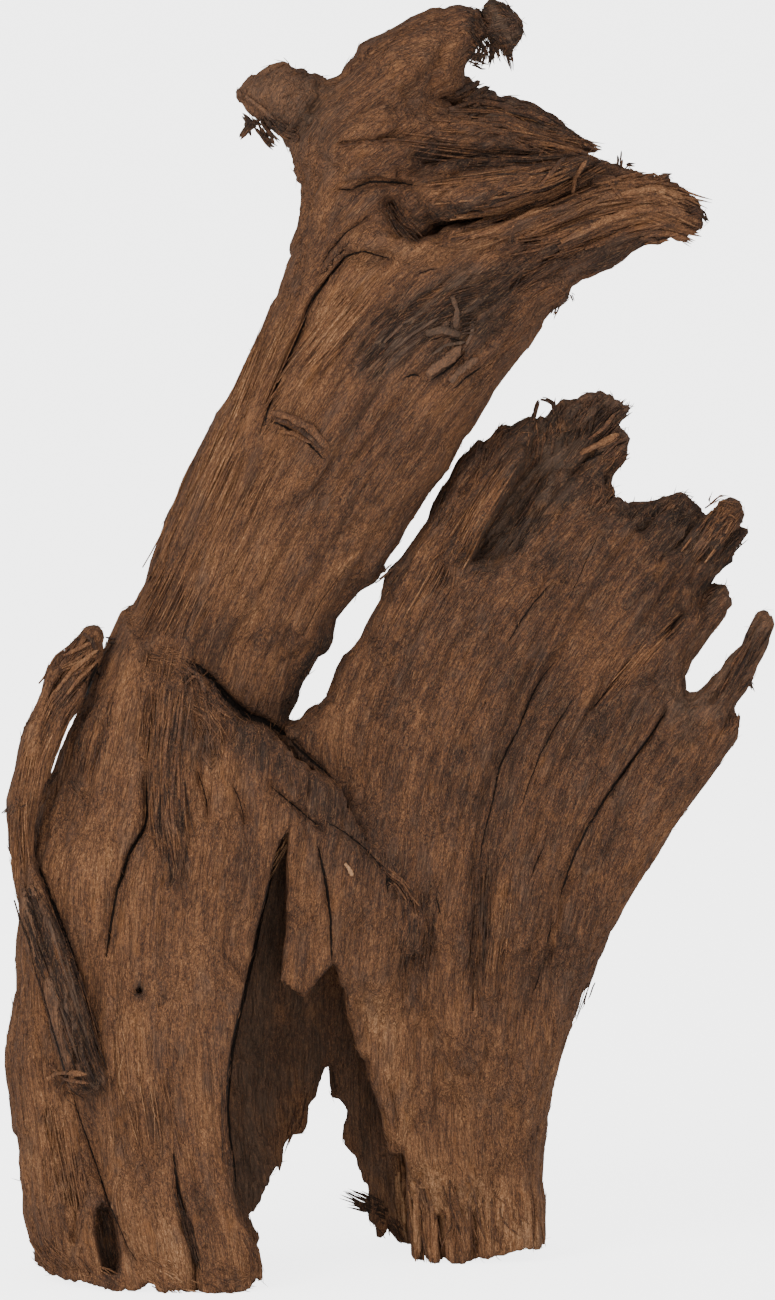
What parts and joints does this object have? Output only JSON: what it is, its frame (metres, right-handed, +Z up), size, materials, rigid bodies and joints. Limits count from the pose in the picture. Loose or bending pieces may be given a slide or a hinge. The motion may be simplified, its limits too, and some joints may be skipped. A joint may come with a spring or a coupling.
{
  "type": "piece of driftwood",
  "caption": "Weathered driftwood stump that stands on two broken legs: a leaning trunk with a splintered head, a torn fan of wood, a side strap and a hollow, arched base.",
  "frame": {"origin": "middle of the bounding box, on the surface that the piece stands on", "axes": "+Z up along the trunk, +Y away from the front face that carries the fold and the tall opening, +X towards the torn fan"},
  "size_m": [0.2437, 0.1135, 0.4099],
  "materials": {
    "wood": "matt, weathered, fibrous brown wood with dark cracks"
  },
  "bodies": {
    "root": {"driftwood": "wood"}
  },
  "joints": []
}
